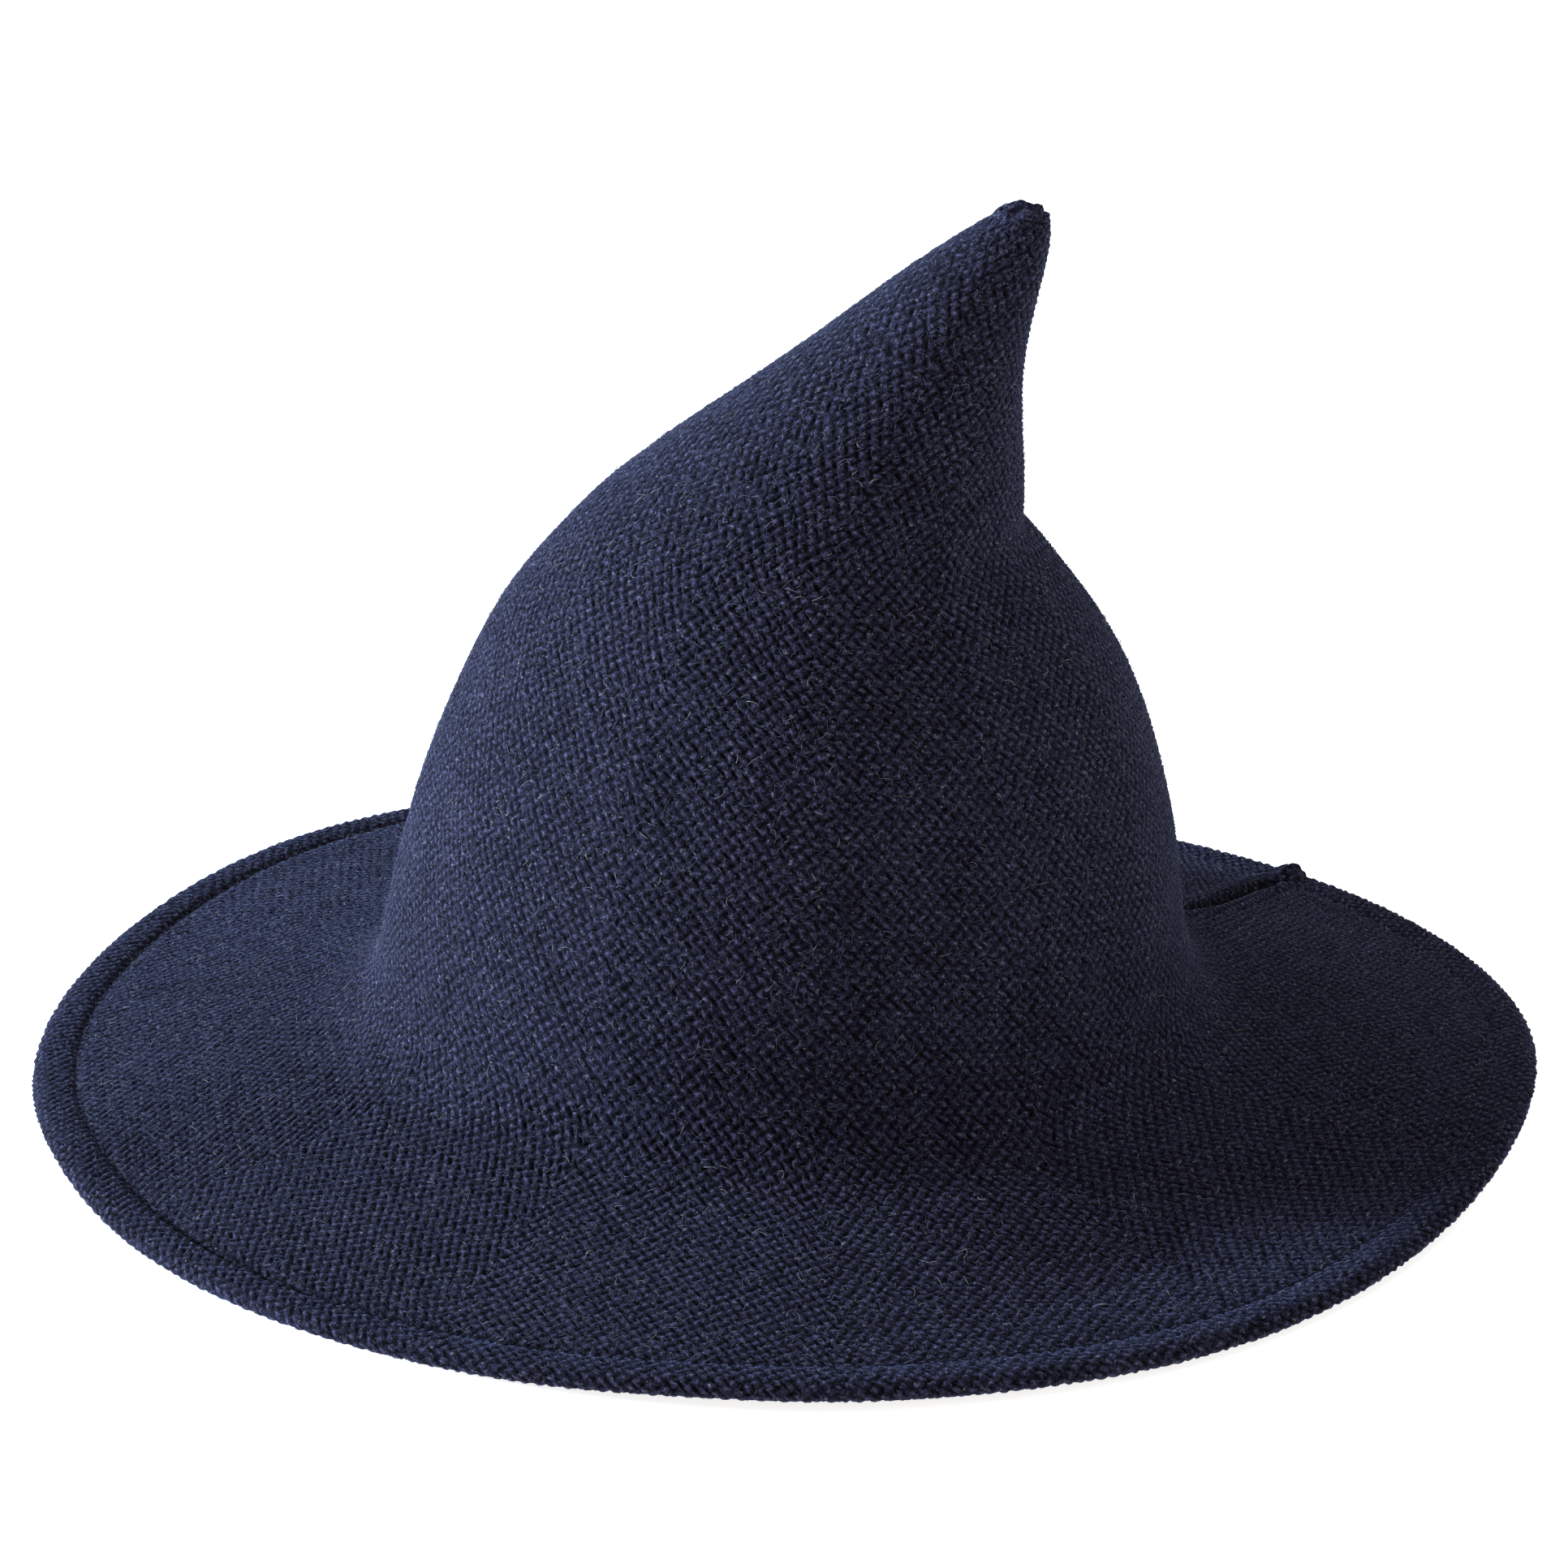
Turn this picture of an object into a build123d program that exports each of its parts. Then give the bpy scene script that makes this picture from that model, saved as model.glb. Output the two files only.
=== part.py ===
from build123d import *
import math
import os

# Soft knitted witch hat: a bell crown whose pointed tip leans towards +X, over a wide round brim.
# Millimetres. +Z is up, -Y is the front, and the origin is the centre of the brim's resting plane.

# --- driving dimensions ---
BRIM_RADIUS = 186.0           # finished outer edge of the hem
KNIT = 3.0                    # thickness of the wool fabric
HEM_WIDTH = 11.0              # depth of the turned edge
HEM_HEIGHT = 6.0              # two layers of fabric
CROWN_FOOT_RADIUS = 100.6     # crown wall where it starts to flare into the brim
CROWN_FOOT_Z = 30.0
SWEATBAND_INNER_RADIUS = 93.0     # a 58 cm head opening
SWEATBAND_THICKNESS = 0.9
SWEATBAND_BOTTOM_Z = 30.0
SWEATBAND_TOP_Z = 52.0
BELL_TOP_Z = 142.0            # the stiff part of the crown ends here
TIP_FOOT_Z = 177.0            # the part above this bends as one piece
TIP_CLOSE_Z = 212.0           # the knitting is drawn shut here
SEAM_AZIMUTH = 34.0           # back right, measured from +X towards +Y
WIRE_RADIUS = 0.8
WIRE_TRACK = BRIM_RADIUS - 4.0    # radius of the wire's own circle
WIRE_GAP = 1.0                # degrees between the wire's two ends
CHANNEL_RADIUS = 1.6          # the wire's tunnel inside the hem
FERRULE_RADIUS = 1.45
FERRULE_SWEEP = 5.0           # degrees
STITCH = 0.8                  # sewing thread
HEM_STITCHES = 90
BAND_STITCHES = 72
BAND_LIP_RADIUS = 96.9        # the sweatband's turned edge reaches the crown wall here
SEAM_RIDGE = 1.6              # height of the joined edges
SEAM_RIDGE_SWEEP = 1.8        # degrees
SEAM_RIDGE_WIDTH = 5.0

# --- crown outline: radius of the wall at each height, foot to tip ---
BELL = [(CROWN_FOOT_Z, CROWN_FOOT_RADIUS), (54.0, 97.0), (80.0, 90.6), (106.0, 80.4), (BELL_TOP_Z, 56.2)]
BEND = [(BELL_TOP_Z, 56.2), (152.0, 49.7), (164.0, 41.8), (TIP_FOOT_Z, 32.6)]
TIP = [(TIP_FOOT_Z, 32.6), (188.0, 25.8), (200.0, 19.6), (TIP_CLOSE_Z, 12.0)]

# --- the tip's lean: upright below, then a steady slope, with a soft bend between ---
LEAN_SLOPE = 0.75
LEAN_START_Z = 145.5
LEAN_SOFTNESS = 12.0

# --- brim outline: radius and height of its upper face, crown foot to hem ---
BRIM = [(103.4, 24.0), (109.5, 18.6), (121.0, 14.2), (148.0, 9.0)]
HEM_INNER_RADIUS = BRIM_RADIUS - HEM_WIDTH
BRIM_EDGE_Z = 5.6


def lean(z):
    """Sideways shift of the crown's centre at height z."""
    above = z - LEAN_START_Z
    foot = CROWN_FOOT_Z - LEAN_START_Z
    shift = above + math.hypot(above, LEAN_SOFTNESS)
    return LEAN_SLOPE / 2 * (shift - (foot + math.hypot(foot, LEAN_SOFTNESS)))


def stack(sections, inset=0.0):
    """Smooth solid through level circles that follow the lean."""
    circles = []
    for z, radius in sections:
        circles.append(Plane((lean(z), 0, z)) * Circle(radius - inset))
    return loft(circles)


def shell(sections, inset=0.0, thickness=KNIT):
    """Tube wall through the sections, open at both ends."""
    return stack(sections, inset) - stack(sections, inset + thickness)


def ring(profile, sweep=360.0, start=0.0):
    """Turn a profile drawn in the XZ plane about Z, from an azimuth in degrees."""
    return Rot(0, 0, start) * revolve(profile, Axis.Z, revolution_arc=sweep)


def brim_curve(drop):
    """Points of the brim's outline, shifted square to the fabric by drop."""
    points = [(CROWN_FOOT_RADIUS, CROWN_FOOT_Z)] + BRIM + [(HEM_INNER_RADIUS, BRIM_EDGE_Z)]
    shifted = []
    for i, (r, z) in enumerate(points):
        before = points[max(i - 1, 0)]
        after = points[min(i + 1, len(points) - 1)]
        along = math.atan2(after[1] - before[1], after[0] - before[0])
        if i == 0:
            along = -math.pi / 2
        if i == len(points) - 1:
            along = 0.0
        shifted.append((r + drop * math.sin(along), z - drop * math.cos(along)))
    return shifted


def brim_band(top_drop, bottom_drop):
    """Closed profile between two shifted copies of the brim's outline."""
    top = [Vector(r, 0, z) for r, z in brim_curve(top_drop)]
    bottom = [Vector(r, 0, z) for r, z in brim_curve(bottom_drop)]
    edges = [Spline(*top), Line(top[-1], bottom[-1]), Spline(*bottom), Line(bottom[0], top[0])]
    return make_face(edges)


def level_profile(*points):
    """Closed straight-sided profile in the XZ plane."""
    return make_face(Polyline(*[(r, 0, z) for r, z in points], close=True))


# --- knitted fabric ---
def crown_bell():
    return shell(BELL)


def crown_bend():
    return shell(BEND)


def crown_tip():
    return shell(TIP)


def brim_panel():
    return ring(brim_band(0.0, KNIT))


def brim_hem():
    """Turned edge: a flat underside to rest on, soft corners outside, and the wire's tunnel."""
    middle = (HEM_INNER_RADIUS + BRIM_RADIUS) / 2
    outline = Plane.XZ * Pos(middle, HEM_HEIGHT / 2) * Rectangle(HEM_WIDTH, HEM_HEIGHT)
    outer_corners = outline.vertices().sort_by(Axis.X)[-2:]
    outline = fillet(outer_corners, 2.4)
    tunnel = Plane.XZ * Pos(WIRE_TRACK, HEM_HEIGHT / 2) * Circle(CHANNEL_RADIUS)
    return ring(outline) - ring(tunnel)


def tip_gather():
    """The drawn-in end of the tip: a low dome with two lobes."""
    x = lean(TIP_CLOSE_Z)
    dome = Pos(x, 0, TIP_CLOSE_Z) * Cone(11.8, 9.0, 3.0, align=(Align.CENTER, Align.CENTER, Align.MIN))
    left_lobe = Pos(x - 1.5, 0.5, TIP_CLOSE_Z + 4.0) * Sphere(6.0)
    right_lobe = Pos(x + 5.5, -0.5, TIP_CLOSE_Z + 2.6) * Sphere(5.2)
    below = Pos(x, 0, TIP_CLOSE_Z) * Box(60, 60, 20, align=(Align.CENTER, Align.CENTER, Align.MAX))
    return dome + left_lobe + right_lobe - below


def tip_draw_yarn():
    """Two turns of yarn that draw the last loops shut, under the gather."""
    x = lean(TIP_CLOSE_Z)
    outer_turn = Pos(x, 0, TIP_CLOSE_Z - STITCH) * Torus(5.6, STITCH)
    inner_turn = Pos(x, 0, TIP_CLOSE_Z - STITCH) * Torus(3.6, STITCH)
    return Compound(children=[outer_turn, inner_turn])


# --- brim hardware and sewing ---
def brim_wire():
    """Round wire that keeps the brim's circle, with its two ends at the seam."""
    section = Plane.XZ * Pos(WIRE_TRACK, HEM_HEIGHT / 2) * Circle(WIRE_RADIUS)
    return ring(section, 360.0 - WIRE_GAP, SEAM_AZIMUTH + WIRE_GAP / 2)


def wire_ferrule():
    """Crimped sleeve over the wire's two ends."""
    sleeve = Circle(FERRULE_RADIUS) - Circle(WIRE_RADIUS + 0.05)
    section = Plane.XZ * Pos(WIRE_TRACK, HEM_HEIGHT / 2) * sleeve
    return ring(section, FERRULE_SWEEP, SEAM_AZIMUTH - FERRULE_SWEEP / 2)


def stitches(radius, z, length, count):
    """Ring of short straight stitches lying level."""
    made = []
    for i in range(count):
        stitch = Pos(radius, 0, z) * Box(STITCH, length, STITCH)
        made.append(Rot(0, 0, 360.0 * (i + 0.5) / count) * stitch)
    return Compound(children=made)


def hem_stitching():
    return stitches(HEM_INNER_RADIUS + 1.2, HEM_HEIGHT + STITCH / 2, 6.0, HEM_STITCHES)


def brim_back_seam():
    """Ridge of the joined edges under the brim, from clear of the sweatband out to the hem."""
    profile = brim_band(KNIT, KNIT + SEAM_RIDGE)
    ridge = ring(profile, SEAM_RIDGE_SWEEP, SEAM_AZIMUTH - SEAM_RIDGE_SWEEP / 2)
    clear_of_band = Cylinder(CROWN_FOOT_RADIUS + 3.4, 100.0)
    return ridge - clear_of_band


def seam_end_tack():
    """Bar tack over the hem where the seam ends."""
    place = Rot(0, 0, SEAM_AZIMUTH) * Pos(BRIM_RADIUS - 4.6, 0, HEM_HEIGHT + 1.2)
    return place * fillet(Box(6.4, 4.2, 2.4).edges().group_by(Axis.Z)[-1], 1.0)


def seam_wedge(width, bottom, top, azimuth):
    """Upright slab that reaches out from the axis at an azimuth."""
    align = (Align.MIN, Align.CENTER, Align.MIN)
    return Rot(0, 0, azimuth) * Pos(0, 0, bottom) * Box(120, width, top - bottom, align=align)


def crown_back_seam():
    """Ridge of the joined edges inside the crown."""
    lining = shell(BELL, KNIT, 1.4)
    return lining & seam_wedge(SEAM_RIDGE_WIDTH, SWEATBAND_TOP_Z + 3, BELL_TOP_Z - 2, SEAM_AZIMUTH)


# --- head opening ---
def sweatband():
    """Ribbon ring, with its lower edge turned out to the crown wall where it is sewn."""
    inner = SWEATBAND_INNER_RADIUS
    outer = inner + SWEATBAND_THICKNESS
    profile = level_profile(
        (inner, SWEATBAND_TOP_Z),
        (inner, SWEATBAND_BOTTOM_Z),
        (BAND_LIP_RADIUS, SWEATBAND_BOTTOM_Z - 1.6),
        (BAND_LIP_RADIUS, SWEATBAND_BOTTOM_Z - 0.4),
        (outer, SWEATBAND_BOTTOM_Z + 1.0),
        (outer, SWEATBAND_TOP_Z),
    )
    return ring(profile)


def sweatband_stitching():
    """Stitches along the turned lower edge."""
    return stitches(BAND_LIP_RADIUS - 1.5, SWEATBAND_BOTTOM_Z - 1.6, 4.5, BAND_STITCHES)


def sweatband_join():
    """Overlap of the ribbon's two ends, outside the band at the back."""
    inner = SWEATBAND_INNER_RADIUS + SWEATBAND_THICKNESS
    outer = inner + 0.6
    bottom = SWEATBAND_BOTTOM_Z + 2
    top = SWEATBAND_TOP_Z - 8
    wall = level_profile((inner, bottom), (outer, bottom), (outer, top), (inner, top))
    return ring(wall, 8.0, 86.0)


def care_label():
    """Blank woven patch sewn flat on the crown wall above the band."""
    patch = shell(BELL, KNIT, 0.5)
    return patch & seam_wedge(36.0, SWEATBAND_TOP_Z + 8, SWEATBAND_TOP_Z + 32, 90.0)


NODES = {
    "crown_bell": crown_bell,
    "crown_bend": crown_bend,
    "crown_tip": crown_tip,
    "tip_gather": tip_gather,
    "tip_draw_yarn": tip_draw_yarn,
    "crown_back_seam": crown_back_seam,
    "brim_panel": brim_panel,
    "brim_hem": brim_hem,
    "brim_wire": brim_wire,
    "wire_ferrule": wire_ferrule,
    "hem_stitching": hem_stitching,
    "brim_back_seam": brim_back_seam,
    "seam_end_tack": seam_end_tack,
    "sweatband": sweatband,
    "sweatband_stitching": sweatband_stitching,
    "sweatband_join": sweatband_join,
    "care_label": care_label,
}

os.makedirs("parts", exist_ok=True)
for name, make in NODES.items():
    export_step(make(), f"parts/{name}.step")
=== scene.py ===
import math

import bpy
import numpy as np
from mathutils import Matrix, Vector


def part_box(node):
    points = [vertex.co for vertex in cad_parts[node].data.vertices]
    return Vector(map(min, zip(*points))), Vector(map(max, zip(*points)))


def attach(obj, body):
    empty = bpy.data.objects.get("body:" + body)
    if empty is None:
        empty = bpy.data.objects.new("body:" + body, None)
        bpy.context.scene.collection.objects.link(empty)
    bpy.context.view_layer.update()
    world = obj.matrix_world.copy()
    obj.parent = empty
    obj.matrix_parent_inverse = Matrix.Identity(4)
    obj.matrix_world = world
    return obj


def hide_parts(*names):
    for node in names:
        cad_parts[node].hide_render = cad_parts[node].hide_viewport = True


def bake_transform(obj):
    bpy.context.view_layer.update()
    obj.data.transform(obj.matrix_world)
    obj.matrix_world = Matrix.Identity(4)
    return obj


# A soft knitted witch hat, standing on its brim. Lengths here are millimetres until a mesh is made.

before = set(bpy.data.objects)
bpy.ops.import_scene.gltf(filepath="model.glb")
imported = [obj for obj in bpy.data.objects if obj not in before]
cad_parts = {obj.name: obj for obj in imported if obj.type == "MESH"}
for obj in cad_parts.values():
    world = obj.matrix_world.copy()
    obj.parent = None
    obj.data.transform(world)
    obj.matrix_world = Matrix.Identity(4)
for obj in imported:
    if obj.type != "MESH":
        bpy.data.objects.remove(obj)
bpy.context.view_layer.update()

MM = 0.001


def cad_mm(node):
    """Lowest and highest corners of a CAD node, in millimetres."""
    low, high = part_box(node)
    return np.array(low) / MM, np.array(high) / MM


# --- dimensions, from the frame where the CAD has them ---
BRIM_RADIUS = cad_mm("brim_hem")[1][0]
HEM_INNER = cad_mm("brim_panel")[1][0]
WIRE_RADIUS = 0.8
WIRE_TRACK = cad_mm("brim_wire")[1][0] - WIRE_RADIUS
WIRE_Z = 3.1
BAND_BOTTOM, BAND_TOP = cad_mm("sweatband")[0][2], cad_mm("sweatband")[1][2]
LABEL_BOTTOM, LABEL_TOP = cad_mm("care_label")[0][2], cad_mm("care_label")[1][2]
KNIT = 2.6                    # thickness of the fabric, without its pile
BACK_SEAM = 34.0              # azimuth in degrees, midway along the brim's seam

# Gauge of the knitting: it runs sideways, so the columns of stitches go round the hat.
STITCH = 3.15
WALE = 3.7
ROW_TILT = 0.16               # the rows run a little downhill within each gore
GORE = 2 * math.pi / 12       # angle of a gore, one of the twelve wedges of short rows
RELIEF = 0.95                 # height of the stitches above the hollows between them

# Outline of the fabric's outer face from the tip to the hem: radius, height.
OUTLINE = np.array([
    (6.2, 215.8), (11.6, 209.0), (18.3, 198.0), (24.9, 186.0), (31.9, 175.0), (40.5, 163.0),
    (48.1, 152.0), (54.4, 142.0), (62.6, 131.0), (71.9, 119.0), (79.7, 106.0), (90.5, 78.0),
    (96.5, 52.0), (99.6, 34.0), (102.6, 25.0), (109.0, 18.4), (122.0, 13.8), (148.0, 9.4),
    (168.0, 6.3), (HEM_INNER - 1.6, 5.6), (HEM_INNER + 0.5, 5.3),
])

# The tip leans towards +X: slope of its axis, height where that begins, and how gradually.
LEAN_SLOPE = 0.75
LEAN_START = 145.5
LEAN_SOFTNESS = 12.0
LEAN_FOOT = 30.0              # height at which the lean is nothing

BRIM_FOOT = 108.0             # radius at which the brim begins to be uneven
BRIM_TOP = 60.0               # height that no part of the brim reaches
BRIM_RUN = 78.0               # length of the brim along the fabric
CROWN_FOOT = 34.0             # height at which the crown's wall begins

# Spots round the hat: size, azimuth and spread in degrees.
# The hem is lifted at the right, and a little at the back left and the left.
LIFTS = ((6.6, -14, 22), (3.2, 138, 20), (1.7, -160, 9), (0.9, -97, 9))
# The back right edge is drawn in beside the seam, and the right front reaches out, as shares of the radius.
DRAWN = ((0.076, 58, 28), (-0.011, -60, 15), (-0.005, -136, 14))
# The hem's sewing is tight at the front left and the back left.
TIGHT = ((1.05, -130, 24), (0.75, 152, 30))

HEM_STITCHES = 180
BAND_STITCHES = 144
LABEL_AZIMUTH = 90.0
LABEL_HALF = 11.3             # half the label's width, in degrees round the crown


# ---------------------------------------------------------------- shape
def spline(knots, values):
    """Natural cubic spline through values at knots, as a function."""
    step = np.diff(knots)[:, None]
    slope = np.diff(values, axis=0) / step
    n = len(knots)
    system = np.eye(n)
    right = np.zeros(values.shape)
    for i in range(1, n - 1):
        a, b = step[i - 1, 0], step[i, 0]
        system[i, i - 1:i + 2] = a, 2 * (a + b), b
        right[i] = 6 * (slope[i] - slope[i - 1])
    bend = np.linalg.solve(system, right)

    def at(x):
        i = np.clip(np.searchsorted(knots, x) - 1, 0, n - 2)
        h = step[i]
        t = (x - knots[i])[:, None]
        u = h - t
        curved = (bend[i] * u ** 3 + bend[i + 1] * t ** 3) / (6 * h)
        straight = (values[i] / h - bend[i] * h / 6) * u + (values[i + 1] / h - bend[i + 1] * h / 6) * t
        return curved + straight

    return at


def by_length(points, step=0.1):
    """Table of distance, radius and height along a smooth curve through the points."""
    chord = np.concatenate([[0], np.cumsum(np.linalg.norm(np.diff(points, axis=0), axis=1))])
    fine = spline(chord, points)(np.arange(0, chord[-1], step))
    fine = np.vstack([fine, points[-1]])
    run = np.concatenate([[0], np.cumsum(np.linalg.norm(np.diff(fine, axis=0), axis=1))])
    return run, fine[:, 0], fine[:, 1]


RUN, RUN_R, RUN_Z = by_length(OUTLINE)
LENGTH = RUN[-1]


def smooth(t):
    """Smooth step from 0 to 1 as t goes from 0 to 1."""
    t = np.clip(t, 0, 1)
    return t * t * (3 - 2 * t)


def bump(x, centre, width):
    """Bell curve of height 1."""
    return np.exp(-((x - centre) / width) ** 2)


def turn(phi, centre_deg):
    """Signed angle in degrees from an azimuth, between -180 and 180."""
    return (np.degrees(phi) - centre_deg + 180) % 360 - 180


def spots(phi, table):
    """Sum of a table's spots at an azimuth."""
    return sum(size * bump(turn(phi, azimuth), 0, spread) for size, azimuth, spread in table)


def lean(z):
    """Sideways shift of the crown's axis at a height."""
    above = z - LEAN_START
    foot = LEAN_FOOT - LEAN_START
    return LEAN_SLOPE / 2 * (above + np.hypot(above, LEAN_SOFTNESS) - foot - math.hypot(foot, LEAN_SOFTNESS))


def waves(a, b, size, seed, count=7):
    """Smooth seeded noise over two coordinates, about -1 to 1."""
    rng = np.random.default_rng(seed)
    total = 0
    for _ in range(count):
        angle = rng.uniform(0, 2 * math.pi)
        pitch = size * rng.uniform(0.7, 1.6)
        phase = rng.uniform(0, 2 * math.pi)
        total = total + np.sin((a * math.cos(angle) + b * math.sin(angle)) * 2 * math.pi / pitch + phase)
    return total / math.sqrt(count) / 1.4


def gore_angle(phi):
    """Angle from the middle of the gore that an azimuth is in, and the gore's number."""
    along = (phi - math.radians(BACK_SEAM)) / GORE
    number = np.floor(along)
    return (along - number - 0.5) * GORE, number


def place(phi, r, z):
    """Where a point of the round outline is on the real, uneven hat."""
    brim = smooth((r - BRIM_FOOT) / (BRIM_RADIUS - BRIM_FOOT)) * (z < BRIM_TOP)
    crown = smooth((z - CROWN_FOOT) / 30)
    # a hollow at the right front, between the crown's foot and the lifted hem
    hollow = 4.2 * bump(turn(phi, -52), 0, 22) * bump(r, 148, 22) * (z < BRIM_TOP)
    swell = 0.4 * waves(phi * 60, r, 95, 11) * brim
    # the crease where the tip folds over
    crease = 1.9 * bump(z, 140.0, 4.2) * bump(turn(phi, -6), 0, 34)
    shoulder = 0.5 * bump(z, 128, 12) * bump(turn(phi, 182), 0, 40)
    soft = 0.5 * waves(np.cos(phi) * 70 + np.sin(phi) * 40, z, 90, 5) * crown * smooth((215 - z) / 30)
    # the gores leave the crown very slightly faceted
    across, _ = gore_angle(phi)
    flat = 0.16 * r * (math.cos(GORE / 2) - np.cos(across)) * smooth((r - 25) / 40) * crown
    r = r * (1 - spots(phi, DRAWN) * brim) - crease + shoulder + soft + flat
    z = z + spots(phi, LIFTS) * brim ** 1.4 - hollow + swell
    shift = (1.3 + lean(z) + 1.5 * bump(z, 104, 24)) * crown
    shift = shift + 1.0 * smooth((z - 143) / 12) + 0.7 * smooth((z - 196) / 18)
    return np.stack([shift + r * np.cos(phi), r * np.sin(phi), z], -1)


def seam_azimuth(r):
    """The back seam isn't quite radial: it swings outwards along the brim. Degrees at a radius."""
    return BACK_SEAM - 3.4 + 7.2 * smooth((np.asarray(r) - 110) / 72)


def seam_groove(phi, r, s):
    """Height of the fabric along the back seam: a furrow with two raised lips, the front one higher."""
    d = r * np.radians(turn(phi, seam_azimuth(r)))
    on_brim = smooth((s - (LENGTH - BRIM_RUN)) / 12)
    depth = 0.5 + 2.0 * on_brim
    return -depth * bump(d, 0, 2.6) + 0.5 * depth * bump(d, -5.2, 2.2) + 0.25 * depth * bump(d, 5.0, 2.0)


def sewn_line(phi, r):
    """Depth that the hem's sewing pulls the fabric in."""
    return (0.12 + spots(phi, TIGHT)) * bump(r, HEM_INNER + 0.3, 1.25)


def cell_random(i, j, k, salt):
    """A repeatable number from 0 to 1 for each stitch."""
    mixed = np.sin(i * 12.9898 + j * 78.233 + k * 37.719 + salt * 4.1414) * 43758.5453
    return mixed - np.floor(mixed)


def knit(phi, s, r, slope):
    """Height of the stitches, about 0 in the hollows between them and 1 on their crowns."""
    across, gore = gore_angle(phi)
    x = r * np.sin(across) + gore * 1.37
    y = s - r * (1 - np.cos(across)) * slope + gore * 0.6 - ROW_TILT * r * np.sin(across)
    x = x + 0.30 * waves(x, y, 17, 3) + 0.08 * waves(x, y, 4.6, 4)
    y = y + 0.34 * waves(x, y, 26, 8) + 0.08 * waves(x, y, 5.2, 9)
    leg = WALE / 2
    row = np.floor(y / leg)
    t = y / leg - row
    along = np.where(row % 2 > 0, 1 - t, t)
    u = x / STITCH - 0.55 * along + 0.5 * (row % 2)
    stitch = np.floor(u)
    u = u + 0.10 * (cell_random(stitch, row, gore, 1) - 0.5)
    from_gap = 0.5 - np.abs(u - np.floor(u) - 0.5)
    in_row = np.sin(np.pi * t)
    # pits between the legs and, smaller, where a stitch passes through the next
    gap = bump(from_gap, 0, 0.23) * in_row ** 0.8 * (0.66 + 0.42 * cell_random(stitch, row, gore, 2))
    eye = bump(0.5 - from_gap, 0, 0.17) * (1 - in_row) * (0.40 + 0.35 * cell_random(stitch, row, gore, 6))
    furrow = 0.46 * (1 - in_row ** 0.6)
    nap = 0.07 * waves(x, y, 2.6, 22, 9)
    return np.clip(1.0 - 0.95 * gap - 0.75 * eye - furrow + nap, -0.1, 1.1)


def on_fabric(phi, s, depth=0.0):
    """Points at azimuth phi and distance s from the tip, below the outer face, and the outward normals."""
    turn_step, run_step = 0.004, 0.5

    def at(phi, s):
        return place(phi, np.interp(s, RUN, RUN_R), np.interp(s, RUN, RUN_Z))

    around = at(phi + turn_step, s) - at(phi - turn_step, s)
    down = at(phi, s + run_step) - at(phi, s - run_step)
    n = np.cross(down, around)
    n = n / np.linalg.norm(n, axis=-1, keepdims=True)
    return at(phi, s) - n * np.asarray(depth)[..., None], n


def run_at_height(z):
    """Distance from the tip along the crown at a height."""
    return np.interp(-np.asarray(z, float), -RUN_Z, RUN)


# ---------------------------------------------------------------- meshes
def grid_normals(points):
    """Outward normals of a grid that is closed along its second direction."""
    around = np.roll(points, -1, axis=1) - np.roll(points, 1, axis=1)
    down = np.gradient(points, axis=0)
    n = np.cross(down, around)
    return n / np.maximum(np.linalg.norm(n, axis=-1, keepdims=True), 1e-9)


def ring_faces(first, second, n):
    """Quads between two rings of n points each."""
    i = np.arange(n)
    j = (i + 1) % n
    return np.stack([first + i, second + i, second + j, first + j], 1)


def step_faces(coarse, fine, n):
    """Five-sided faces between a ring of n points and one of twice as many."""
    i = np.arange(n)
    j = (i + 1) % n
    return np.stack([coarse + i, fine + 2 * i, fine + 2 * i + 1, fine + (2 * j) % (2 * n), coarse + j], 1)


def make_mesh(name, points, face_sets, attributes=None):
    """Mesh object from points in millimetres and arrays of faces, all smooth."""
    mesh = bpy.data.meshes.new(name)
    mesh.vertices.add(len(points))
    mesh.vertices.foreach_set("co", (np.asarray(points) * MM).astype(np.float32).ravel())
    loops = np.concatenate([f.ravel() for f in face_sets])
    sizes = np.concatenate([np.full(len(f), f.shape[1]) for f in face_sets])
    starts = np.concatenate([[0], np.cumsum(sizes)[:-1]])
    mesh.loops.add(len(loops))
    mesh.loops.foreach_set("vertex_index", loops.astype(np.int32))
    mesh.polygons.add(len(sizes))
    mesh.polygons.foreach_set("loop_start", starts.astype(np.int32))
    mesh.update(calc_edges=True)
    mesh.polygons.foreach_set("use_smooth", np.ones(len(sizes), bool))
    for key, values in (attributes or {}).items():
        made = mesh.attributes.new(key, "FLOAT", "POINT")
        made.data.foreach_set("value", np.asarray(values, np.float32).ravel())
    mesh.validate()
    made = bpy.data.objects.new(name, mesh)
    bpy.context.scene.collection.objects.link(made)
    return made


def lattice(n, s):
    """Azimuths and distances of a grid of n columns."""
    phi = np.arange(n) / n * 2 * math.pi
    return np.meshgrid(phi, s)


def knit_rows(n, s, inset, purl):
    """Grid of fabric points at distances s from the tip, and each point's pile, which sets its colour:
    painted shade, darker where the pile is low.
    """
    phi, run = lattice(n, s)
    r = np.interp(run, RUN, RUN_R)
    z = np.interp(run, RUN, RUN_Z)
    slope = np.abs(np.gradient(RUN_R, RUN))
    slope = np.interp(run, RUN, slope)
    base = place(phi, r, z)
    normals = grid_normals(base)
    pile = knit(phi, run, r, slope)
    if purl:
        pile = 1 - pile
    seam = seam_groove(phi, r, run)
    # the knitting is pulled tighter, so flatter, towards the tip
    height = (pile - 0.75) * RELIEF * (0.6 + 0.4 * smooth(run / 70))
    if purl:
        out = -inset - height * 0.6 + seam * 0.4
        pile = 0.35 + 0.65 * pile
    else:
        sewn = sewn_line(phi, r)
        out = height + seam - sewn
        # little light reaches the bottom of the furrows
        pile = pile - 0.22 * sewn + 0.24 * np.minimum(seam, 0)
    return base + normals * out[..., None], pile


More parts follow.
